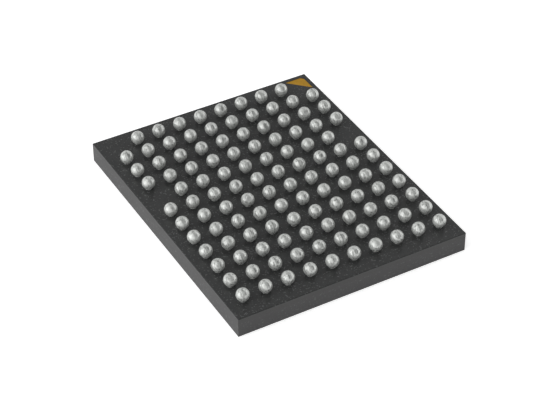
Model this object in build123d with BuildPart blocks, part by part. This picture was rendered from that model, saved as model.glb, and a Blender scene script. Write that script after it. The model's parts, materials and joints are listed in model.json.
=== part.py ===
from build123d import *
import os

os.makedirs("parts", exist_ok=True)

# A microcontroller in a moulded ball grid package, lying on its moulded face with the balls up.
# Millimetres. The origin is the middle of the moulded face, and row A is at the +Y end.

# Package outline and the stack of layers, from the moulded face upwards
body_width = 5.2
body_length = 6.4
mould_thickness = 0.32
mask_thickness = 0.02
laminate_thickness = 0.09

# Solder balls
ball_pitch = 0.5
ball_columns = 10
row_letters = "abcdefghjklm"
empty_columns = {"a": (1, 10), "e": (1, 10)}
ball_diameter = 0.28
ball_standoff = 0.275
ball_land_diameter = 0.11
ball_sides = 8

# Gold mark beside the missing corner ball, a right triangle with a blunt right angle
mark_inset = 0.1
mark_leg = 0.45
mark_blunting = 0.06
mark_thickness = 0.015

# Silicon die, glued to the laminate inside the moulding
die_width = 2.9
die_length = 3.7
die_thickness = 0.1
die_film_thickness = 0.02

# Bond wires, from the die over its edge down to gold fingers on the laminate
wire_width = 0.02
wire_pitch = 0.22
long_edge_wire_count = 12
short_edge_wire_count = 8
wire_loop_height = 0.07
wire_pad_inset = 0.08
wire_knee_reach = 0.1
wire_foot_length = 0.05
finger_width = 0.1
finger_length = 0.3
finger_thickness = 0.015
finger_gap = 0.35
finger_window_margin = 0.06

# Heights of the layers
laminate_bottom = mould_thickness + mask_thickness
laminate_top = laminate_bottom + laminate_thickness
ball_side = laminate_top + mask_thickness
die_bottom = mould_thickness - die_film_thickness
die_face = die_bottom - die_thickness
finger_face = laminate_bottom - finger_thickness

# Each ball is a bead with flat sides that touch the true ball, from its land to its crown
ball_radius = ball_diameter / 2
ball_height = mask_thickness + ball_standoff
ball_crown_chamfer = ball_radius * (2 - 2**0.5)
ball_land_chamfer = ball_radius - ball_land_diameter / 2

with BuildPart() as solder_ball:
    with BuildSketch(Plane.XY.offset(laminate_top)):
        RegularPolygon(ball_radius, ball_sides, major_radius=False, rotation=180 / ball_sides)
    extrude(amount=ball_height)
    chamfer(solder_ball.edges().group_by(Axis.Z)[-1], length=ball_crown_chamfer)
    chamfer(solder_ball.edges().group_by(Axis.Z)[0], length=ball_land_chamfer)

ball_row_nodes = []
for row_number, row_letter in enumerate(row_letters):
    row_y = ((len(row_letters) - 1) / 2 - row_number) * ball_pitch
    ball_sites = []
    for column in range(1, ball_columns + 1):
        if column not in empty_columns.get(row_letter, ()):
            # Column 1 is at the +X side, below the corner mark
            column_x = ((ball_columns + 1) / 2 - column) * ball_pitch
            ball_sites.append((column_x, row_y))

    with BuildPart() as ball_row:
        with Locations(*ball_sites):
            add(solder_ball.part)

    row_name = f"solder_balls_row_{row_letter}"
    ball_row.part.label = row_name
    export_step(ball_row.part, f"parts/{row_name}.step")
    ball_row_nodes.append(ball_row)

# Outline of the corner mark, shared by the mark and by its window in the solder mask
mark_right = body_width / 2 - mark_inset
mark_back = body_length / 2 - mark_inset

with BuildSketch(Plane.XY.offset(laminate_top)) as mark_outline:
    with BuildLine():
        Polyline(
            (mark_right - mark_leg, mark_back),
            (mark_right - mark_blunting, mark_back),
            (mark_right, mark_back - mark_blunting),
            (mark_right, mark_back - mark_leg),
            close=True,
        )
    make_face()

with BuildPart() as corner_mark:
    extrude(mark_outline.sketch, amount=mark_thickness)

corner_mark.part.label = "corner_mark"
export_step(corner_mark.part, "parts/corner_mark.step")

# The solder mask on the ball side has a window for the mark and an opening round each ball
with BuildPart() as solder_mask_ball_side:
    with BuildSketch(Plane.XY.offset(laminate_top)):
        Rectangle(body_width, body_length)
    extrude(amount=mask_thickness)
    extrude(mark_outline.sketch, amount=mask_thickness, mode=Mode.SUBTRACT)
    add([ball_row.part for ball_row in ball_row_nodes], mode=Mode.SUBTRACT)

solder_mask_ball_side.part.label = "solder_mask_ball_side"
export_step(solder_mask_ball_side.part, "parts/solder_mask_ball_side.step")

# The laminate, one board with its copper pressed inside
with BuildPart() as laminate_core:
    with BuildSketch(Plane.XY.offset(laminate_bottom)):
        Rectangle(body_width, body_length)
    extrude(amount=laminate_thickness)

laminate_core.part.label = "laminate_core"
export_step(laminate_core.part, "parts/laminate_core.step")

# Die and the film that glues it to the mask
with BuildPart() as die_attach_film:
    with BuildSketch(Plane.XY.offset(die_bottom)):
        Rectangle(die_width, die_length)
    extrude(amount=die_film_thickness)

die_attach_film.part.label = "die_attach_film"
export_step(die_attach_film.part, "parts/die_attach_film.step")

with BuildPart() as silicon_die:
    with BuildSketch(Plane.XY.offset(die_face)):
        Rectangle(die_width, die_length)
    extrude(amount=die_thickness)

silicon_die.part.label = "silicon_die"
export_step(silicon_die.part, "parts/silicon_die.step")

# A plane across each edge of the die, with X outwards, Y up and its normal along the edge
edge_planes = {
    "right": Plane(origin=(die_width / 2, 0, 0), x_dir=(1, 0, 0), z_dir=(0, -1, 0)),
    "left": Plane(origin=(-die_width / 2, 0, 0), x_dir=(-1, 0, 0), z_dir=(0, 1, 0)),
    "back": Plane(origin=(0, die_length / 2, 0), x_dir=(0, 1, 0), z_dir=(1, 0, 0)),
    "front": Plane(origin=(0, -die_length / 2, 0), x_dir=(0, -1, 0), z_dir=(-1, 0, 0)),
}
wire_counts = {
    "right": long_edge_wire_count,
    "left": long_edge_wire_count,
    "back": short_edge_wire_count,
    "front": short_edge_wire_count,
}

# Profile of a wire and of a finger in that plane
loop_face = die_face - wire_loop_height
finger_middle = finger_gap + finger_length / 2
finger_mid_height = finger_face + finger_thickness / 2
window_reach = finger_length + 2 * finger_window_margin
window_mid_height = mould_thickness + mask_thickness / 2

bond_wire_nodes = []
bond_finger_nodes = []
for edge_name, edge_plane in edge_planes.items():
    wire_count = wire_counts[edge_name]
    stations = []
    for wire_number in range(wire_count):
        stations.append(edge_plane.offset((wire_number - (wire_count - 1) / 2) * wire_pitch))

    with BuildPart() as bond_wires:
        with BuildSketch(*stations):
            with BuildLine():
                Polyline(
                    (-wire_pad_inset, die_face),
                    (-wire_pad_inset, loop_face),
                    (wire_knee_reach, loop_face),
                    (finger_middle, finger_face),
                    (finger_middle - wire_foot_length, finger_face),
                    (wire_knee_reach - wire_width, loop_face + wire_width),
                    (wire_width - wire_pad_inset, loop_face + wire_width),
                    (wire_width - wire_pad_inset, die_face),
                    close=True,
                )
            make_face()
        extrude(amount=wire_width / 2, both=True)

    bond_wires.part.label = f"bond_wires_{edge_name}"
    export_step(bond_wires.part, f"parts/bond_wires_{edge_name}.step")
    bond_wire_nodes.append(bond_wires)

    with BuildPart() as bond_fingers:
        with BuildSketch(*stations):
            with Locations((finger_middle, finger_mid_height)):
                Rectangle(finger_length, finger_thickness)
        extrude(amount=finger_width / 2, both=True)

    bond_fingers.part.label = f"bond_fingers_{edge_name}"
    export_step(bond_fingers.part, f"parts/bond_fingers_{edge_name}.step")
    bond_finger_nodes.append(bond_fingers)

# Windows in the solder mask on the die side, one along each row of fingers
with BuildPart() as finger_windows:
    for edge_name, edge_plane in edge_planes.items():
        window_span = (wire_counts[edge_name] - 1) * wire_pitch + finger_width + 2 * finger_window_margin
        with BuildSketch(edge_plane):
            with Locations((finger_middle, window_mid_height)):
                Rectangle(window_reach, mask_thickness)
        extrude(amount=window_span / 2, both=True)

with BuildPart() as solder_mask_die_side:
    with BuildSketch(Plane.XY.offset(mould_thickness)):
        Rectangle(body_width, body_length)
    extrude(amount=mask_thickness)
    add(finger_windows.part, mode=Mode.SUBTRACT)

solder_mask_die_side.part.label = "solder_mask_die_side"
export_step(solder_mask_die_side.part, "parts/solder_mask_die_side.step")

# The moulding compound fills all that is left, down into the windows and round every wire
buried_nodes = [silicon_die, die_attach_film] + bond_wire_nodes + bond_finger_nodes

with BuildPart() as mould_cap:
    with BuildSketch():
        Rectangle(body_width, body_length)
    extrude(amount=mould_thickness)
    add(finger_windows.part)
    add([buried_node.part for buried_node in buried_nodes], mode=Mode.SUBTRACT)

mould_cap.part.label = "mould_cap"
export_step(mould_cap.part, "parts/mould_cap.step")
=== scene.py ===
"""Dresses a microcontroller in a ball grid package and lights it in a small studio.

The part lies on its moulded face with the solder balls up. Lengths in the classes below are
millimetres, as in the part's own drawings, and METRES_PER_MM turns finished meshes into metres.
Angles are degrees. In a finish, a number named tone says how far a pattern takes the colour's
brightness either way, and one named swing says the same of the roughness.
"""

import json
import logging
import math
from collections.abc import Iterable
from dataclasses import dataclass, field
from enum import Enum
from functools import reduce

import bmesh
import bpy
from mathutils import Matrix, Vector
from mathutils.geometry import delaunay_2d_cdt

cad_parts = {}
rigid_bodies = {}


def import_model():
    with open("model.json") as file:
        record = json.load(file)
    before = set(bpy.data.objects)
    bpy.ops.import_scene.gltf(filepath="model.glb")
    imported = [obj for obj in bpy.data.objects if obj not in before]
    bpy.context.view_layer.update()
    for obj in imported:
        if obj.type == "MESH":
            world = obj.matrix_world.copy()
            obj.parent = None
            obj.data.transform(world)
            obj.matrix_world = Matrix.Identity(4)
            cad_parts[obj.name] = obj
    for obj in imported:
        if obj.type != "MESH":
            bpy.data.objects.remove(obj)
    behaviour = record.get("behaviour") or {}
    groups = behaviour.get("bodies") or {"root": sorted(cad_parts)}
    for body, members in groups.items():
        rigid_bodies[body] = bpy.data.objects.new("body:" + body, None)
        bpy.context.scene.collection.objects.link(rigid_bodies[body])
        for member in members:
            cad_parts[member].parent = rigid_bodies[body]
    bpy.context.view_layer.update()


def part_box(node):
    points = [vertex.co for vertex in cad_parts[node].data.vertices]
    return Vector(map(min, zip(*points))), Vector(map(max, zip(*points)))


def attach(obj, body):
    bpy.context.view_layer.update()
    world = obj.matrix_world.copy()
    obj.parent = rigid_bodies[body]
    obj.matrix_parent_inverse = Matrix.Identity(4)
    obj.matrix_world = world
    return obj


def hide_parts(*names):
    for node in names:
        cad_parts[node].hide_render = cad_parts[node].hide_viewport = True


METRES_PER_MM = 0.001
MICRONS_PER_METRE = 1e6
BODY = "root"
WHITE = (1.0, 1.0, 1.0, 1.0)

# A CAD node's points merge within NEAR, which also tells what lies on a plane, and those of a new
# mesh merge within WELD
NEAR = 0.0005
WELD = 0.0002

# The levels that nearly all of a noise pattern lies between, and the rise that a fleck fades in over
NOISE_LOW = 0.3
NOISE_HIGH = 0.7
FLECK_EDGE = 0.1

# The triangulation keeps the faces inside the outline, and merges points within its tolerance
INSIDE_OUTLINE = 1
FILL_TOLERANCE = 1e-6

Point = tuple[float, float]
Colour = tuple[float, float, float]
Socket = bpy.types.NodeSocket

log = logging.getLogger("microcontroller")


class Blend(Enum):
    """What a Mix node mixes."""

    NUMBER = "FLOAT"
    COLOUR = "RGBA"


class Fade(Enum):
    """How a Map Range node goes from one end to the other."""

    STRAIGHT = "LINEAR"
    SOFT = "SMOOTHSTEP"


class NodeTree:
    """Adds and joins the nodes of one tree, of a material, the world or geometry.

    Args:
        tree: The node tree that is filled.
    """

    def __init__(self, tree: bpy.types.NodeTree) -> None:
        """Empties the tree."""
        self.tree = tree
        tree.nodes.clear()

    def add(self, kind: str, **settings: object) -> bpy.types.Node:
        """Adds a node.

        Args:
            kind: The node's type name.
            settings: Properties of the node.

        Returns:
            The new node.
        """
        node = self.tree.nodes.new(kind)
        for name, value in settings.items():
            setattr(node, name, value)
        return node

    def join(self, source: Socket, target: Socket) -> None:
        """Links an output to an input."""
        self.tree.links.new(source, target)

    def feed(self, value: Socket | float, target: Socket) -> None:
        """Links a value to an input, or writes it there where it is a plain number.

        Args:
            value: An output or a number.
            target: The input.
        """
        if isinstance(value, Socket):
            self.join(value, target)
        else:
            target.default_value = value

    @staticmethod
    def in_use(sockets: Iterable[Socket]) -> dict[str, Socket]:
        """Gives the sockets that a node shows with its settings, by name."""
        return {socket.name: socket for socket in sockets if socket.enabled}

    def calculate(self, operation: str, *values: Socket | float) -> Socket:
        """Works out a value from others.

        Args:
            operation: The Math node's operation.
            values: What it works on, in the node's order.

        Returns:
            The result.
        """
        node = self.add("ShaderNodeMath", operation=operation)
        for value, target in zip(values, node.inputs):
            self.feed(value, target)
        return node.outputs["Value"]

    def product(self, *values: Socket) -> Socket:
        """Multiplies some values."""
        return reduce(lambda first, second: self.calculate("MULTIPLY", first, second), values)

    def greatest(self, *values: Socket) -> Socket:
        """Gives the greatest of some values."""
        return reduce(lambda first, second: self.calculate("MAXIMUM", first, second), values)

    def ramp(
        self, value: Socket, start: float, end: float, low: float, high: float, fade: Fade = Fade.STRAIGHT
    ) -> Socket:
        """Turns one range of values into another, and holds it beyond its ends.

        Args:
            value: The value that is read.
            start: Where the range starts.
            end: Where it ends.
            low: What the start becomes.
            high: What the end becomes.
            fade: How it goes from one to the other.

        Returns:
            The new value.
        """
        node = self.add("ShaderNodeMapRange", interpolation_type=fade.value)
        for name, level in (("From Min", start), ("From Max", end), ("To Min", low), ("To Max", high)):
            node.inputs[name].default_value = level
        self.join(value, node.inputs["Value"])
        return node.outputs["Result"]

    def mixed(self, share: Socket, first: Socket, second: Socket, blend: Blend = Blend.NUMBER) -> Socket:
        """Mixes two values.

        Args:
            share: How much of the second value shows.
            first: The value where the share is 0.
            second: The value where the share is 1.
            blend: What they are.

        Returns:
            The mixed value.
        """
        mix = self.add("ShaderNodeMix", data_type=blend.value)
        inputs = self.in_use(mix.inputs)
        self.join(share, inputs["Factor"])
        self.join(first, inputs["A"])
        self.join(second, inputs["B"])
        return self.in_use(mix.outputs)["Result"]

    def chance(self, low: Socket | float, high: Socket | float, seed: Socket) -> Socket:
        """Draws a random number for each element.

        Args:
            low: The lower bound.
            high: The upper bound.
            seed: The seed.

        Returns:
            The number drawn.
        """
        draw = self.add("FunctionNodeRandomValue", data_type="FLOAT")
        inputs = self.in_use(draw.inputs)
        self.feed(low, inputs["Min"])
        self.feed(high, inputs["Max"])
        self.join(seed, inputs["Seed"])
        return self.in_use(draw.outputs)["Value"]

    def millimetres(self, stretch: tuple[float, float, float] = (1.0, 1.0, 1.0)) -> Socket:
        """Gives the place on the object in millimetres.

        Args:
            stretch: How often a pattern repeats along each axis, against one millimetre.

        Returns:
            The vector output to hang a pattern on.
        """
        place = self.add("ShaderNodeTexCoord")
        scale = self.add("ShaderNodeMapping")
        scale.inputs["Scale"].default_value = [s / METRES_PER_MM for s in stretch]
        self.join(place.outputs["Object"], scale.inputs["Vector"])
        return scale.outputs["Vector"]

    def slanted(self, slant: float, across: float, along: float) -> Socket:
        """Gives the place on the object, counted in the streaks of a slanted grain.

        Args:
            slant: How far the grain leans from upright towards +Y.
            across: A streak's width.
            along: A streak's length.

        Returns:
            The vector output to hang a pattern on.
        """
        place = self.add("ShaderNodeTexCoord")
        grain = self.add("ShaderNodeMapping", vector_type="TEXTURE")
        grain.inputs["Rotation"].default_value = (math.radians(-slant), 0.0, 0.0)
        grain.inputs["Scale"].default_value = [s * METRES_PER_MM for s in (across, across, along)]
        self.join(place.outputs["Object"], grain.inputs["Vector"])
        return grain.outputs["Vector"]

    def noise(self, vector: Socket, fineness: float = 1.0, detail: float = 2.0) -> Socket:
        """Gives a soft random pattern.

        Args:
            vector: Where the pattern is read.
            fineness: Blotches for each unit of the vector, a millimetre unless it is stretched.
            detail: How many finer layers lie on it.

        Returns:
            The pattern's value, around 0.5.
        """
        noise = self.add("ShaderNodeTexNoise")
        noise.inputs["Scale"].default_value = fineness
        noise.inputs["Detail"].default_value = detail
        self.join(vector, noise.inputs["Vector"])
        return noise.outputs["Fac"]

    def spread(self, pattern: Socket, middle: float, swing: float) -> Socket:
        """Stretches a random pattern to a range of values.

        Args:
            pattern: The pattern.
            middle: The middle of the range.
            swing: How far the range goes to each side.

        Returns:
            The stretched value.
        """
        return self.ramp(pattern, NOISE_LOW, NOISE_HIGH, middle - swing, middle + swing)

    def tone(self, pattern: Socket, swing: float) -> Socket:
        """Turns a pattern into a brightness around 1."""
        return self.spread(pattern, 1.0, swing)

    def flecks(self, vector: Socket, rarity: float, gain: float, fineness: float = 1.0) -> Socket:
        """Scatters small flecks, lighter or darker than what is around them.

        Args:
            vector: Where the pattern is read.
            rarity: The level of the pattern above which a fleck starts, over 0.5.
            gain: How much brighter than 1 a fleck is, or how much darker where it is negative.
            fineness: Blotches for each unit of the vector.

        Returns:
            A brightness of 1, and another one on the flecks.
        """
        level = self.noise(vector, fineness, detail=0.0)
        return self.ramp(level, rarity, rarity + FLECK_EDGE, 1.0, 1.0 + gain)

    def edgeways(self, start: float, full: float, most: float) -> Socket:
        """Gives a value that grows where the surface is seen edgeways.

        Args:
            start: How far from face on it starts, where 0 is face on and 1 is edgeways.
            full: Where it has grown to the most.
            most: The value there.

        Returns:
            The value, 0 before the start.
        """
        weight = self.add("ShaderNodeLayerWeight")
        return self.ramp(weight.outputs["Facing"], start, full, 0.0, most)

    def tint(self, colour: Colour, brightness: Socket) -> Socket:
        """Multiplies a colour by a brightness that varies over the surface.

        Args:
            colour: The surface's mean colour.
            brightness: The factor, around 1.

        Returns:
            The varied colour.
        """
        scale = self.add("ShaderNodeVectorMath", operation="SCALE")
        scale.inputs[0].default_value = colour
        self.join(brightness, scale.inputs["Scale"])
        return scale.outputs["Vector"]

    def bump(self, height: Socket, depth: float, below: Socket | None = None) -> Socket:
        """Turns a pattern into relief.

        Args:
            height: The pattern.
            depth: The relief's depth.
            below: A coarser relief that this one lies on.

        Returns:
            The normal for a shader.
        """
        bump = self.add("ShaderNodeBump")
        bump.inputs["Distance"].default_value = depth * METRES_PER_MM
        self.join(height, bump.inputs["Height"])
        if below is not None:
            self.join(below, bump.inputs["Normal"])
        return bump.outputs["Normal"]


class Surface:
    """One material with a Principled shader at its end.

    Args:
        name: The material's name.
        metallic: How far it shines as a metal does, from 0 to 1.
        specular: The shader's specular level.
    """

    def __init__(self, name: str, metallic: float = 0.0, specular: float = 0.5) -> None:
        """Makes the material and its shader."""
        self.material = bpy.data.materials.new(name)
        self.material.use_nodes = True
        self.nodes = NodeTree(self.material.node_tree)
        output = self.nodes.add("ShaderNodeOutputMaterial")
        self.shader = self.nodes.add("ShaderNodeBsdfPrincipled")
        self.shader.inputs["Metallic"].default_value = metallic
        self.shader.inputs["Specular IOR Level"].default_value = specular
        self.nodes.join(self.shader.outputs["BSDF"], output.inputs["Surface"])

    def drive(self, **sockets: Socket) -> None:
        """Links values to the shader's inputs.

        Args:
            sockets: Each input's name with a low line for a space, and the value for it.
        """
        for name, value in sockets.items():
            self.nodes.join(value, self.shader.inputs[name.replace("_", " ")])


@dataclass(frozen=True)
class MouldCompound:
    """Charcoal epoxy with fine filler and light grit, saw-cut at the sides, matt on the moulded face."""

    wall_colour: Colour = (0.1, 0.1, 0.101)
    wall_roughness: float = 0.62
    wall_swing: float = 0.05
    face_colour: Colour = (0.05, 0.05, 0.051)
    face_roughness: float = 0.55
    face_swing: float = 0.04
    face_upright: float = 0.8
    specular: float = 0.35
    filler_per_mm: float = 45.0
    filler_tone: float = 0.07
    cloud_per_mm: float = 1.3
    cloud_tone: float = 0.03
    saw_lines_per_mm: float = 42.0
    saw_drift_per_mm: float = 1.6
    saw_tone: float = 0.04
    grit_per_mm: float = 26.0
    grit_rarity: float = 0.66
    grit_gain: float = 0.5
    relief: float = 0.0012

    def material(self) -> bpy.types.Material:
        """Builds the finish's nodes.

        Returns:
            The material.
        """
        surface = Surface("mould_compound", specular=self.specular)
        nodes = surface.nodes
        here = nodes.millimetres()
        along = nodes.millimetres((self.saw_drift_per_mm, self.saw_drift_per_mm, self.saw_lines_per_mm))
        filler = nodes.noise(here, self.filler_per_mm, detail=3.0)
        saw = nodes.noise(along, detail=3.0)
        cloud = nodes.noise(here, self.cloud_per_mm)

        # The flat moulded face is told from the walls by which way the surface looks
        geometry = nodes.add("ShaderNodeNewGeometry")
        split = nodes.add("ShaderNodeSeparateXYZ")
        nodes.join(geometry.outputs["Normal"], split.inputs["Vector"])
        upright = nodes.calculate("ABSOLUTE", split.outputs["Z"])
        is_face = nodes.calculate("GREATER_THAN", upright, self.face_upright)

        grit = nodes.flecks(here, self.grit_rarity, self.grit_gain, self.grit_per_mm)
        tone = nodes.product(nodes.tone(filler, self.filler_tone), nodes.tone(cloud, self.cloud_tone), grit)
        wall = nodes.tint(self.wall_colour, nodes.product(tone, nodes.tone(saw, self.saw_tone)))
        face = nodes.tint(self.face_colour, tone)
        rough_wall = nodes.spread(saw, self.wall_roughness, self.wall_swing)
        rough_face = nodes.spread(filler, self.face_roughness, self.face_swing)
        surface.drive(
            Base_Color=nodes.mixed(is_face, wall, face, Blend.COLOUR),
            Roughness=nodes.mixed(is_face, rough_wall, rough_face),
            Normal=nodes.bump(nodes.mixed(is_face, saw, filler), self.relief),
        )
        return surface.material


@dataclass(frozen=True)
class SawnLaminate:
    """Dark glass-fibre board, cut through at the package's sides."""

    colour: Colour = (0.096, 0.096, 0.095)
    roughness: float = 0.6
    swing: float = 0.06
    specular: float = 0.35
    plies_per_mm: float = 70.0
    bundles_per_mm: float = 5.0
    fibre_tone: float = 0.07
    grain_per_mm: float = 50.0
    grain_tone: float = 0.05
    relief: float = 0.0012

    def material(self) -> bpy.types.Material:
        """Builds the finish's nodes.

        Returns:
            The material.
        """
        surface = Surface("sawn_laminate", specular=self.specular)
        nodes = surface.nodes
        bundles = nodes.millimetres((self.bundles_per_mm, self.bundles_per_mm, self.plies_per_mm))
        fibres = nodes.noise(bundles, detail=3.0)
        grain = nodes.noise(nodes.millimetres(), self.grain_per_mm)
        tone = nodes.product(nodes.tone(fibres, self.fibre_tone), nodes.tone(grain, self.grain_tone))
        surface.drive(
            Base_Color=nodes.tint(self.colour, tone),
            Roughness=nodes.spread(fibres, self.roughness, self.swing),
            Normal=nodes.bump(fibres, self.relief),
        )
        return surface.material


@dataclass(frozen=True)
class SolderMask:
    """Smooth dark grey lacquer with a soft sheen, faint orange peel and light dust, matt seen edgeways."""

    colour: Colour = (0.0445, 0.0455, 0.0455)
    roughness: float = 0.2
    swing: float = 0.03
    edgeways_roughness: float = 0.85
    edgeways_start: float = 0.75
    edgeways_full: float = 0.95
    specular: float = 0.3
    peel_per_mm: float = 6.0
    peel_tone: float = 0.04
    speck_per_mm: float = 32.0
    speck_tone: float = 0.08
    dust_per_mm: float = 30.0
    dust_rarity: float = 0.66
    dust_gain: float = 1.2
    relief: float = 0.0004

    def material(self) -> bpy.types.Material:
        """Builds the finish's nodes.

        Returns:
            The material.
        """
        surface = Surface("solder_mask", specular=self.specular)
        nodes = surface.nodes
        here = nodes.millimetres()
        peel = nodes.noise(here, self.peel_per_mm)
        speck = nodes.noise(here, self.speck_per_mm)
        dust = nodes.flecks(here, self.dust_rarity, self.dust_gain, self.dust_per_mm)
        tone = nodes.product(nodes.tone(peel, self.peel_tone), nodes.tone(speck, self.speck_tone), dust)
        gloss = nodes.spread(peel, self.roughness, self.swing)
        matt = nodes.edgeways(self.edgeways_start, self.edgeways_full, self.edgeways_roughness)
        surface.drive(
            Base_Color=nodes.tint(self.colour, tone),
            Roughness=nodes.greatest(gloss, matt),
            Normal=nodes.bump(speck, self.relief, below=nodes.bump(peel, self.relief)),
        )
        return surface.material


@dataclass(frozen=True)
class SolderTin:
    """Satin tin alloy with a fine frozen grain, slanted dark streaks and a matt skin of oxide.

    Each ball has a tone of its own, which it carries as an attribute.
    """

    colour: Colour = (0.692, 0.71, 0.686)
    metallic: float = 0.32
    roughness: float = 0.22
    swing: float = 0.04
    grain_per_mm: float = 26.0
    grain_tone: float = 0.03
    cloud_per_mm: float = 7.0
    cloud_tone: float = 0.03
    streak_slant: float = 45.0
    streak_width: float = 0.027
    streak_length: float = 0.25
    streak_rarity: float = 0.57
    streak_gain: float = -0.45
    relief: float = 0.0024
    tone_name: str = "ball_tone"

    def material(self) -> bpy.types.Material:
        """Builds the finish's nodes.

        Returns:
            The material.
        """
        surface = Surface("solder_tin", metallic=self.metallic)
        nodes = surface.nodes
        here = nodes.millimetres()
        grain = nodes.noise(here, self.grain_per_mm, detail=3.0)
        cloud = nodes.noise(here, self.cloud_per_mm)
        ball = nodes.add("ShaderNodeAttribute", attribute_name=self.tone_name)
        slanted = nodes.slanted(self.streak_slant, self.streak_width, self.streak_length)
        tone = nodes.product(
            nodes.tone(grain, self.grain_tone),
            nodes.tone(cloud, self.cloud_tone),
            ball.outputs["Fac"],
            nodes.flecks(slanted, self.streak_rarity, self.streak_gain),
        )
        surface.drive(
            Base_Color=nodes.tint(self.colour, tone),
            Roughness=nodes.spread(cloud, self.roughness, self.swing),
            Normal=nodes.bump(grain, self.relief),
        )
        return surface.material


@dataclass(frozen=True)
class GoldPlate:
    """Soft gold plating over copper, slightly grained."""

    colour: Colour = (0.65, 0.358, 0.04)
    roughness: float = 0.42
    swing: float = 0.07
    grain_per_mm: float = 22.0
    grain_tone: float = 0.07
    cloud_per_mm: float = 5.0
    cloud_tone: float = 0.06
    relief: float = 0.0005

    def material(self) -> bpy.types.Material:
        """Builds the finish's nodes.

        Returns:
            The material.
        """
        surface = Surface("gold_plate", metallic=1.0)
        nodes = surface.nodes
        here = nodes.millimetres()
        grain = nodes.noise(here, self.grain_per_mm, detail=3.0)
        cloud = nodes.noise(here, self.cloud_per_mm, detail=1.0)
        tone = nodes.product(nodes.tone(grain, self.grain_tone), nodes.tone(cloud, self.cloud_tone))
        surface.drive(
            Base_Color=nodes.tint(self.colour, tone),
            Roughness=nodes.spread(grain, self.roughness, self.swing),
            Normal=nodes.bump(grain, self.relief),
        )
        return surface.material


@dataclass(frozen=True)
class LappedSilicon:
    """Grey silicon with the fine swirl that grinding leaves."""

    colour: Colour = (0.16, 0.17, 0.19)
    metallic: float = 0.6
    roughness: float = 0.22
    swing: float = 0.03
    swirl_per_mm: float = 18.0
    swirl_bend: float = 1.5
    swirl_tone: float = 0.03
    relief: float = 0.0002

    def material(self) -> bpy.types.Material:
        """Builds the finish's nodes.

        Returns:
            The material.
        """
        surface = Surface("lapped_silicon", metallic=self.metallic)
        nodes = surface.nodes
        rings = nodes.add("ShaderNodeTexWave", wave_type="RINGS", rings_direction="Z")
        rings.inputs["Scale"].default_value = self.swirl_per_mm
        rings.inputs["Distortion"].default_value = self.swirl_bend
        nodes.join(nodes.millimetres(), rings.inputs["Vector"])
        swirl = rings.outputs["Fac"]
        surface.drive(
            Base_Color=nodes.tint(self.colour, nodes.tone(swirl, self.swirl_tone)),
            Roughness=nodes.spread(swirl, self.roughness, self.swing),
            Normal=nodes.bump(swirl, self.relief),
        )
        return surface.material


@dataclass(frozen=True)
class AdhesiveFilm:
    """Thin cream film that holds the die."""

    colour: Colour = (0.75, 0.72, 0.6)
    roughness: float = 0.6
    swing: float = 0.05
    flow_per_mm: float = 4.0
    flow_tone: float = 0.06
    relief: float = 0.0006

    def material(self) -> bpy.types.Material:
        """Builds the finish's nodes.

        Returns:
            The material.
        """
        surface = Surface("adhesive_film")
        nodes = surface.nodes
        flow = nodes.noise(nodes.millimetres(), self.flow_per_mm, detail=3.0)
        surface.drive(
            Base_Color=nodes.tint(self.colour, nodes.tone(flow, self.flow_tone)),
            Roughness=nodes.spread(flow, self.roughness, self.swing),
            Normal=nodes.bump(flow, self.relief),
        )
        return surface.material


def new_object(name: str, mesh: bpy.types.Mesh) -> bpy.types.Object:
    """Links a mesh into the scene.

    Args:
        name: The object's name.
        mesh: Its mesh, already in place.

    Returns:
        The new object, at the origin.
    """
    piece = bpy.data.objects.new(name, mesh)
    bpy.context.scene.collection.objects.link(piece)
    return piece


def mesh_from(form: bmesh.types.BMesh, name: str, smooth: bool = False) -> bpy.types.Mesh:
    """Turns a form in millimetres into a mesh in metres, and frees the form.

    Args:
        form: The form.
        name: The mesh's name.
        smooth: Whether its faces are shaded as one curve.

    Returns:
        The mesh.
    """
    bmesh.ops.scale(form, vec=[METRES_PER_MM] * 3, verts=form.verts)
    for face in form.faces:
        face.smooth = smooth
    mesh = bpy.data.meshes.new(name)
    form.to_mesh(mesh)
    form.free()
    return mesh


def settle(piece: bpy.types.Object, slot: str, *nodes: str) -> None:
    """Lets a finished piece ride on the part in place of CAD nodes.

    Args:
        piece: The finished piece.
        slot: The record's material slot that it shows. Not used.
        nodes: The nodes that it stands for.
    """
    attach(piece, BODY)
    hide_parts(*nodes)
    log.info("%s: %d faces, for %s", piece.name, len(piece.data.polygons), ", ".join(nodes))


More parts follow.
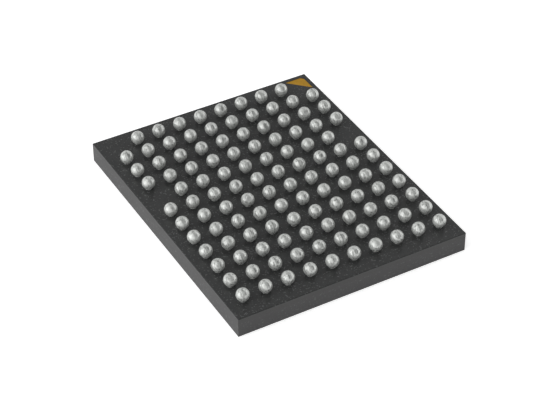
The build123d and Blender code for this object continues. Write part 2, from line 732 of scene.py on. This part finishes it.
@dataclass
class SawnLayer:
    """One layer of the package, with its sawn corners eased by the cut.

    A copy of the CAD node keeps every cavity, and only the outer edges are broken.
    """

    node: str
    slot: str
    finish: bpy.types.Material
    eased_bottom: bool = False
    edge_break: float = 0.008
    edge_steps: int = 2
    edge_roundness: float = 0.5

    def build(self) -> bpy.types.Object:
        """Makes the layer and dresses it.

        Returns:
            The finished piece.
        """
        form = bmesh.new()
        form.from_mesh(bpy.data.objects[self.node].data)
        bmesh.ops.scale(form, vec=[1 / METRES_PER_MM] * 3, verts=form.verts)
        bmesh.ops.remove_doubles(form, verts=form.verts, dist=NEAR)
        planes = self.outer_planes()
        for axis, place in planes:
            flat = [face for face in form.faces if all(abs(v.co[axis] - place) < NEAR for v in face.verts)]
            bmesh.ops.dissolve_faces(form, faces=flat)
        outer = [edge for edge in form.edges if self.is_sawn(edge, planes)]
        bmesh.ops.bevel(
            form,
            geom=outer,
            offset=self.edge_break,
            segments=self.edge_steps,
            affect="EDGES",
            profile=self.edge_roundness,
        )
        mesh = mesh_from(form, self.node + "_dressed")
        mesh.materials.append(self.finish)
        piece = new_object(self.node + "_dressed", mesh)
        settle(piece, self.slot, self.node)
        return piece

    def outer_planes(self) -> list[tuple[int, float]]:
        """Finds the four sawn sides, and the bottom where it is eased.

        Returns:
            The axis and the place of each.
        """
        low, high = (corner / METRES_PER_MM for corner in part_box(self.node))
        planes = [(0, low.x), (0, high.x), (1, low.y), (1, high.y)]
        if self.eased_bottom:
            planes.append((2, low.z))
        return planes

    @staticmethod
    def is_sawn(edge: bmesh.types.BMEdge, planes: list[tuple[int, float]]) -> bool:
        """Tells whether an edge lies between two outer planes.

        Args:
            edge: An edge of the layer, in millimetres.
            planes: The outer planes, each with its axis and place.

        Returns:
            True for the four upright corners, and for the lowest edges where they are eased.
        """
        held = 0
        for axis, place in planes:
            held += all(abs(vert.co[axis] - place) < NEAR for vert in edge.verts)
        return held == 2


@dataclass
class BallGrid:
    """The solder balls, each one a sphere drawn in to a waist above a small foot in its mask opening."""

    finish: bpy.types.Material
    diameter: float = 0.28
    pitch: float = 0.5
    columns: int = 10
    rows: int = 12
    foot_diameter: float = 0.146
    waist_diameter: float = 0.12
    land_diameter: float = 0.11
    empty_rows: tuple[int, ...] = (1, 5)
    turns: int = 28
    crown_steps: int = 11
    seed: int = 7
    tone_spread: float = 0.015
    face: float = field(init=False)
    land: float = field(init=False)
    crown: float = field(init=False)

    def __post_init__(self) -> None:
        """Reads the heights off the frame."""
        mask_low, mask_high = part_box("solder_mask_ball_side")
        ball_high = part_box("solder_balls_row_a")[1]
        self.land = mask_low.z / METRES_PER_MM
        self.face = mask_high.z / METRES_PER_MM
        self.crown = ball_high.z / METRES_PER_MM

    def profile(self) -> list[Point]:
        """Draws half a ball's section, from the crown down to the land.

        Returns:
            Distances from the axis and heights.
        """
        radius = self.diameter / 2
        centre = self.crown - radius
        touch = math.pi - math.asin(self.waist_diameter / 2 / radius)
        points = []
        for step in range(self.crown_steps + 1):
            angle = touch * step / self.crown_steps
            points.append((radius * math.sin(angle), centre + radius * math.cos(angle)))
        points.append((self.foot_diameter / 2, self.face))
        points.append((self.land_diameter / 2, self.land))
        points.append((0.0, self.land))
        return points

    def ball(self) -> bpy.types.Object:
        """Turns the section round the axis.

        Returns:
            One ball at the middle of the grid, its axis upright.
        """
        form = bmesh.new()
        section = [form.verts.new((x, 0.0, z)) for x, z in self.profile()]
        for first, second in zip(section, section[1:]):
            form.edges.new((first, second))
        bmesh.ops.spin(
            form,
            geom=form.verts[:] + form.edges[:],
            axis=(0.0, 0.0, 1.0),
            cent=(0.0, 0.0, 0.0),
            steps=self.turns,
            angle=2 * math.pi,
        )
        bmesh.ops.remove_doubles(form, verts=form.verts, dist=WELD)
        bmesh.ops.recalc_face_normals(form, faces=form.faces)
        mesh = mesh_from(form, "solder_ball_grid", smooth=True)
        return new_object("solder_ball_grid", mesh)

    def tree(self) -> bpy.types.NodeTree:
        """Builds the geometry nodes that set one ball on each site.

        Returns:
            The tree, with its sizes as named inputs.
        """
        tree = bpy.data.node_groups.new("ball_grid", "GeometryNodeTree")
        nodes = NodeTree(tree)
        sizes = ("Width", "Length", "Outer Column", "First Empty Row", "Second Empty Row", "Half Pitch")
        inputs = {
            "Geometry": ("Ball",),
            "Int": ("Columns", "Rows", "Seed"),
            "Float": (*sizes, "Tone Low", "Tone High"),
            "Material": ("Finish",),
        }
        for kind, names in inputs.items():
            for name in names:
                tree.interface.new_socket(name, in_out="INPUT", socket_type="NodeSocket" + kind)
        tree.interface.new_socket("Balls", in_out="OUTPUT", socket_type="NodeSocketGeometry")
        given = nodes.add("NodeGroupInput").outputs
        result = nodes.add("NodeGroupOutput")

        grid = nodes.add("GeometryNodeMeshGrid")
        for name, measure in (
            ("Size X", "Width"),
            ("Size Y", "Length"),
            ("Vertices X", "Columns"),
            ("Vertices Y", "Rows"),
        ):
            nodes.join(given[measure], grid.inputs[name])
        points = nodes.add("GeometryNodeMeshToPoints")
        nodes.join(grid.outputs["Mesh"], points.inputs["Mesh"])

        # A site is empty at both ends of the two short rows
        place = nodes.add("GeometryNodeInputPosition")
        split = nodes.add("ShaderNodeSeparateXYZ")
        nodes.join(place.outputs["Position"], split.inputs["Vector"])
        side = nodes.calculate("ABSOLUTE", split.outputs["X"])
        is_outer = nodes.calculate("GREATER_THAN", side, given["Outer Column"])
        in_rows = []
        for name in ("First Empty Row", "Second Empty Row"):
            away = nodes.calculate("SUBTRACT", split.outputs["Y"], given[name])
            distance = nodes.calculate("ABSOLUTE", away)
            in_rows.append(nodes.calculate("LESS_THAN", distance, given["Half Pitch"]))
        empty = nodes.product(is_outer, nodes.greatest(*in_rows))
        sites = nodes.add("GeometryNodeDeleteGeometry", domain="POINT")
        nodes.join(points.outputs["Points"], sites.inputs["Geometry"])
        nodes.join(empty, sites.inputs["Selection"])

        # Each ball is turned by chance about its axis and gets a tone of its own
        turn = nodes.chance(0.0, 2 * math.pi, given["Seed"])
        upright = nodes.add("ShaderNodeCombineXYZ")
        nodes.join(turn, upright.inputs["Z"])
        seated = nodes.add("GeometryNodeInstanceOnPoints")
        nodes.join(sites.outputs["Geometry"], seated.inputs["Points"])
        nodes.join(given["Ball"], seated.inputs["Instance"])
        nodes.join(upright.outputs["Vector"], seated.inputs["Rotation"])
        tone = nodes.chance(given["Tone Low"], given["Tone High"], given["Seed"])
        named = nodes.add("GeometryNodeStoreNamedAttribute", data_type="FLOAT", domain="INSTANCE")
        named.inputs["Name"].default_value = SolderTin.tone_name
        nodes.join(seated.outputs["Instances"], named.inputs["Geometry"])
        nodes.join(tone, named.inputs["Value"])

        real = nodes.add("GeometryNodeRealizeInstances")
        nodes.join(named.outputs["Geometry"], real.inputs["Geometry"])
        dressed = nodes.add("GeometryNodeSetMaterial")
        nodes.join(real.outputs["Geometry"], dressed.inputs["Geometry"])
        nodes.join(given["Finish"], dressed.inputs["Material"])
        nodes.join(dressed.outputs["Geometry"], result.inputs["Balls"])
        return tree

    def row_place(self, number: int) -> float:
        """Gives a row's place along Y, in metres, row 1 at the +Y end."""
        return ((self.rows + 1) / 2 - number) * self.pitch * METRES_PER_MM

    def build(self) -> bpy.types.Object:
        """Sets a ball on each site as one plain mesh.

        Returns:
            The finished piece.
        """
        piece = self.ball()
        tree = self.tree()
        sizes = {
            "Columns": self.columns,
            "Rows": self.rows,
            "Seed": self.seed,
            "Width": (self.columns - 1) * self.pitch * METRES_PER_MM,
            "Length": (self.rows - 1) * self.pitch * METRES_PER_MM,
            "Outer Column": (self.columns - 2) / 2 * self.pitch * METRES_PER_MM,
            "First Empty Row": self.row_place(self.empty_rows[0]),
            "Second Empty Row": self.row_place(self.empty_rows[1]),
            "Half Pitch": self.pitch / 2 * METRES_PER_MM,
            "Tone Low": 1 - self.tone_spread,
            "Tone High": 1 + self.tone_spread,
            "Finish": self.finish,
        }
        modifier = piece.modifiers.new("ball_grid", "NODES")
        modifier.node_group = tree
        for socket in tree.interface.items_tree:
            if socket.in_out == "INPUT" and socket.name in sizes:
                modifier[socket.identifier] = sizes[socket.name]
        bpy.context.view_layer.update()
        graph = bpy.context.evaluated_depsgraph_get()
        whole = piece.evaluated_get(graph)
        mesh = bpy.data.meshes.new_from_object(whole, preserve_all_data_layers=True, depsgraph=graph)
        piece.modifiers.clear()
        piece.data = mesh
        rows = [name for name in bpy.data.objects.keys() if name.startswith("solder_balls_row_")]
        settle(piece, "solder", *sorted(rows))
        return piece

    def sites(self) -> list[Point]:
        """Lists the sites that hold a ball.

        Returns:
            The balls' centres.
        """
        found = []
        for row in range(1, self.rows + 1):
            for column in range(1, self.columns + 1):
                if row in self.empty_rows and column in (1, self.columns):
                    continue
                across = ((self.columns + 1) / 2 - column) * self.pitch
                found.append((across, self.row_place(row) / METRES_PER_MM))
        return found


@dataclass
class BallSideMask:
    """The solder mask round the balls, with an opening for each and a window for the gold mark."""

    finish: bpy.types.Material
    balls: BallGrid
    edge_break: float = 0.008

    def outline(self, inset: float) -> list[Point]:
        """Draws the package's outline.

        Args:
            inset: How far inside the sawn sides it runs.

        Returns:
            Its four corners, anticlockwise.
        """
        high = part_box("solder_mask_ball_side")[1]
        x = high.x / METRES_PER_MM - inset
        y = high.y / METRES_PER_MM - inset
        return [(-x, -y), (x, -y), (x, y), (-x, y)]

    def window(self) -> list[Point]:
        """Reads the gold mark's outline off its node.

        Returns:
            Its corners, anticlockwise.
        """
        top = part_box("corner_mark")[1].z
        verts = bpy.data.objects["corner_mark"].data.vertices
        upper = [vert.co * MICRONS_PER_METRE for vert in verts if top - vert.co.z < NEAR * METRES_PER_MM]
        corners = {(round(place.x), round(place.y)) for place in upper}
        microns_per_mm = MICRONS_PER_METRE * METRES_PER_MM
        points = [(x / microns_per_mm, y / microns_per_mm) for x, y in corners]
        middle_x = sum(x for x, _ in points) / len(points)
        middle_y = sum(y for _, y in points) / len(points)
        return sorted(points, key=lambda p: math.atan2(p[1] - middle_y, p[0] - middle_x))

    def ring(self, centre: Point, radius: float) -> list[Point]:
        """Draws the round edge of one opening.

        Args:
            centre: The ball's centre.
            radius: The opening's radius.

        Returns:
            As many points as a ball has meridians.
        """
        count = self.balls.turns
        turns = [2 * math.pi * step / count for step in range(count)]
        return [(centre[0] + radius * math.cos(t), centre[1] + radius * math.sin(t)) for t in turns]

    def sheet(self, form: bmesh.types.BMesh, loops: list[list[Point]], height: float, up: bool) -> None:
        """Fills a flat sheet with holes.

        Args:
            form: The form that the sheet is added to.
            loops: The outline first, then the holes.
            height: Where the sheet lies.
            up: Whether it faces up.
        """
        points = [Vector(point) for loop in loops for point in loop]
        edges = []
        start = 0
        for loop in loops:
            count = len(loop)
            edges += [(start + i, start + (i + 1) % count) for i in range(count)]
            start += count
        owners = [number for number, loop in enumerate(loops) for _ in loop]
        places, _, faces, sources, *_ = delaunay_2d_cdt(points, edges, [], INSIDE_OUTLINE, FILL_TOLERANCE)
        verts = [form.verts.new((place.x, place.y, height)) for place in places]
        for corners in faces:
            # A face with all its corners on the edge of one hole fills that hole
            around = {owners[sources[i][0]] for i in corners}
            if len(around) == 1 and around != {0}:
                continue
            order = corners if up else list(reversed(corners))
            form.faces.new([verts[i] for i in order])

    def wall(
        self,
        form: bmesh.types.BMesh,
        low: list[Point],
        low_z: float,
        high: list[Point],
        high_z: float,
        out: bool,
    ) -> None:
        """Joins two loops of equal length by a wall.

        Args:
            form: The form that the wall is added to.
            low: The lower loop, anticlockwise.
            low_z: Its height.
            high: The upper loop, anticlockwise.
            high_z: Its height.
            out: Whether the wall faces away from the loop's middle.
        """
        below = [form.verts.new((x, y, low_z)) for x, y in low]
        above = [form.verts.new((x, y, high_z)) for x, y in high]
        count = len(low)
        for i in range(count):
            j = (i + 1) % count
            corners = [below[i], below[j], above[j], above[i]]
            form.faces.new(corners if out else corners[::-1])

    def build(self) -> bpy.types.Object:
        """Makes the mask and dresses it.

        Returns:
            The finished piece.
        """
        balls = self.balls
        low, high = balls.land, balls.face
        shoulder = high - self.edge_break
        window = self.window()
        foot, land = balls.foot_diameter / 2, balls.land_diameter / 2
        feet = [self.ring(site, foot) for site in balls.sites()]
        lands = [self.ring(site, land) for site in balls.sites()]
        form = bmesh.new()
        self.sheet(form, [self.outline(self.edge_break), window, *feet], high, True)
        self.sheet(form, [self.outline(0.0), window, *lands], low, False)
        self.wall(form, self.outline(0.0), low, self.outline(0.0), shoulder, True)
        self.wall(form, self.outline(0.0), shoulder, self.outline(self.edge_break), high, True)
        self.wall(form, window, low, window, high, False)
        for bottom, top in zip(lands, feet):
            self.wall(form, bottom, low, top, high, False)
        bmesh.ops.remove_doubles(form, verts=form.verts, dist=WELD)
        mesh = mesh_from(form, "solder_mask_ball_side_dressed")
        mesh.materials.append(self.finish)
        piece = new_object("solder_mask_ball_side_dressed", mesh)
        settle(piece, "solder_mask", "solder_mask_ball_side")
        return piece


@dataclass
class CarriedNodes:
    """CAD nodes that keep their own shape and only get a finish."""

    slot: str
    finish: bpy.types.Material
    prefixes: tuple[str, ...]

    def dress(self) -> None:
        """Puts the finish on every node whose name starts with a prefix."""
        for name in sorted(bpy.data.objects.keys()):
            if name.startswith(self.prefixes):
                node = bpy.data.objects[name]
                node.data.materials.clear()
                node.data.materials.append(self.finish)
                log.info("%s: dressed in %s", name, self.finish.name)


class Side(Enum):
    """Where a lamp stands, as its azimuth in degrees. 0 is in front, at -Y, and 90 is at +X."""

    LEFT = -90.0
    LEFT_FRONT = -35.0
    LEFT_BACK = -150.0
    RIGHT = 110.0
    RIGHT_FRONT = 75.0
    RIGHT_BACK = 150.0


@dataclass(frozen=True)
class SoftLamp:
    """A wide round soft box, far enough away to light everything evenly."""

    side: Side
    elevation: float
    spread: float
    radiance: float

    def build(self) -> bpy.types.Object:
        """Makes the lamp.

        Returns:
            The lamp's object.
        """
        name = f"lamp_{self.side.name.lower()}_{self.elevation:.0f}"
        lamp = bpy.data.lights.new(name, "SUN")
        lamp.angle = math.radians(self.spread)
        # A sun's strength is what its whole disc gives, seen face on
        lamp.energy = self.radiance * math.pi * math.sin(lamp.angle / 2) ** 2
        holder = bpy.data.objects.new(name, lamp)
        azimuth = math.radians(self.side.value)
        elevation = math.radians(self.elevation)
        level = math.cos(elevation)
        towards = Vector((math.sin(azimuth) * level, -math.cos(azimuth) * level, math.sin(elevation)))
        holder.rotation_mode = "QUATERNION"
        holder.rotation_quaternion = towards.to_track_quat("Z", "Y")
        holder.visible_camera = False
        bpy.context.scene.collection.objects.link(holder)
        return holder


@dataclass
class Studio:
    """Pale floor, soft lamps and an even surround that is white to the camera."""

    lamps: tuple[SoftLamp, ...] = (
        SoftLamp(Side.LEFT, 12.0, 62.0, 1.86),
        SoftLamp(Side.LEFT, 55.0, 45.0, 1.2),
        SoftLamp(Side.LEFT_FRONT, 30.0, 45.0, 1.0),
        SoftLamp(Side.LEFT_BACK, 28.0, 50.0, 0.7),
        SoftLamp(Side.RIGHT, 40.0, 45.0, 0.86),
        SoftLamp(Side.RIGHT_FRONT, 15.0, 50.0, 1.12),
        SoftLamp(Side.RIGHT_BACK, 35.0, 40.0, 0.35),
    )
    surround: float = 0.12
    backdrop_rise: float = 0.16
    backdrop_fade: float = 0.1
    floor_size: float = 900.0
    floor_drop: float = 0.001
    floor_colour: Colour = (0.86, 0.86, 0.86)
    mirrored_floor_lift: float = 0.38
    seen_floor_lift: float = 0.62

    def world(self) -> None:
        """Makes the surround, an even grey that lights the part, and the white that the camera sees.

        Mirror rays meet that white too, as a backdrop along the horizon.
        """
        world = bpy.data.worlds.new("studio")
        bpy.context.scene.world = world
        world.use_nodes = True
        nodes = NodeTree(world.node_tree)
        output = nodes.add("ShaderNodeOutputWorld")
        path = nodes.add("ShaderNodeLightPath")
        direction = nodes.add("ShaderNodeTexCoord")
        split = nodes.add("ShaderNodeSeparateXYZ")
        nodes.join(direction.outputs["Generated"], split.inputs["Vector"])
        top = self.backdrop_rise + self.backdrop_fade
        low = nodes.ramp(split.outputs["Z"], self.backdrop_rise, top, 1.0, 0.0, Fade.SOFT)
        mirrored = nodes.product(path.outputs["Is Glossy Ray"], low)
        seen = nodes.greatest(path.outputs["Is Camera Ray"], path.outputs["Is Transmission Ray"], mirrored)
        room = nodes.add("ShaderNodeBackground")
        room.inputs["Strength"].default_value = self.surround
        room.inputs["Color"].default_value = WHITE
        white = nodes.add("ShaderNodeBackground")
        white.inputs["Color"].default_value = WHITE
        mix = nodes.add("ShaderNodeMixShader")
        nodes.join(seen, mix.inputs[0])
        nodes.join(room.outputs["Background"], mix.inputs[1])
        nodes.join(white.outputs["Background"], mix.inputs[2])
        nodes.join(mix.outputs["Shader"], output.inputs["Surface"])

    def paper(self) -> bpy.types.Material:
        """Makes the floor's white paper, which keeps the shadow.

        Returns:
            Its material.
        """
        material = bpy.data.materials.new("studio_paper")
        material.use_nodes = True
        nodes = NodeTree(material.node_tree)
        output = nodes.add("ShaderNodeOutputMaterial")
        sheet = nodes.add("ShaderNodeBsdfDiffuse")
        sheet.inputs["Color"].default_value = (*self.floor_colour, 1.0)
        path = nodes.add("ShaderNodeLightPath")
        levels = {
            "Is Camera Ray": self.seen_floor_lift,
            "Is Glossy Ray": self.mirrored_floor_lift,
            "Is Transmission Ray": self.mirrored_floor_lift,
        }
        lifts = [nodes.calculate("MULTIPLY", path.outputs[ray], level) for ray, level in levels.items()]
        glow = nodes.add("ShaderNodeEmission")
        nodes.join(nodes.greatest(*lifts), glow.inputs["Strength"])
        both = nodes.add("ShaderNodeAddShader")
        nodes.join(sheet.outputs["BSDF"], both.inputs[0])
        nodes.join(glow.outputs["Emission"], both.inputs[1])
        nodes.join(both.outputs["Shader"], output.inputs["Surface"])
        return material

    def floor(self) -> bpy.types.Object:
        """Lays the floor just under the part.

        Returns:
            The floor.
        """
        form = bmesh.new()
        half = self.floor_size / 2
        corners = [(-half, -half), (half, -half), (half, half), (-half, half)]
        form.faces.new([form.verts.new((x, y, -self.floor_drop)) for x, y in corners])
        mesh = mesh_from(form, "studio_floor")
        mesh.materials.append(self.paper())
        floor = new_object("studio_floor", mesh)
        return floor

    def build(self) -> None:
        """Makes the surround, the floor and the lamps."""
        self.world()
        self.floor()
        for lamp in self.lamps:
            lamp.build()
        log.info("studio: %d lamps", len(self.lamps))


@dataclass
class PhotoCamera:
    """The photograph's camera, found from the places of the balls in it.

    It looks level along +Y at an azimuth and a fall of 0, and turns towards +X and down.
    """

    place: tuple[float, float, float] = (-15.443, -27.225, 25.08)
    azimuth: float = 29.797
    fall: float = 38.59
    focal_pixels: float = 1934.48
    frame_pixels: float = 560.0
    sensor: float = 36.0
    nearest: float = 0.5
    furthest: float = 2000.0

    def build(self) -> bpy.types.Object:
        """Makes the camera and hands it to the scene.

        Returns:
            The camera's object.
        """
        lens = bpy.data.cameras.new("photo_camera")
        lens.sensor_width = self.sensor
        lens.lens = self.sensor * self.focal_pixels / self.frame_pixels
        lens.clip_start = self.nearest * METRES_PER_MM
        lens.clip_end = self.furthest * METRES_PER_MM
        camera = bpy.data.objects.new("photo_camera", lens)
        camera.location = Vector(self.place) * METRES_PER_MM
        azimuth = math.radians(self.azimuth)
        fall = math.radians(self.fall)
        level = math.cos(fall)
        ahead = Vector((math.sin(azimuth) * level, math.cos(azimuth) * level, -math.sin(fall)))
        camera.rotation_mode = "QUATERNION"
        camera.rotation_quaternion = ahead.to_track_quat("-Z", "Y")
        bpy.context.scene.collection.objects.link(camera)
        bpy.context.scene.camera = camera
        return camera


def main() -> None:
    """Builds the camera, the dressed part and the studio."""
    logging.basicConfig(level=logging.INFO, format="%(name)s: %(message)s")
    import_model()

    PhotoCamera().build()

    mould = MouldCompound().material()
    laminate = SawnLaminate().material()
    mask = SolderMask().material()
    gold = GoldPlate().material()
    tin = SolderTin().material()
    silicon = LappedSilicon().material()
    film = AdhesiveFilm().material()

    balls = BallGrid(tin)
    BallSideMask(mask, balls).build()
    balls.build()
    SawnLayer("mould_cap", "mould_compound", mould, eased_bottom=True).build()
    SawnLayer("solder_mask_die_side", "solder_mask", laminate).build()
    SawnLayer("laminate_core", "laminate", laminate).build()
    CarriedNodes("gold_plating", gold, ("corner_mark", "bond_wires", "bond_fingers")).dress()
    CarriedNodes("silicon", silicon, ("silicon_die",)).dress()
    CarriedNodes("die_film", film, ("die_attach_film",)).dress()

    bpy.context.scene.view_settings.view_transform = "Standard"
    Studio().build()


if __name__ == "__main__":
    main()
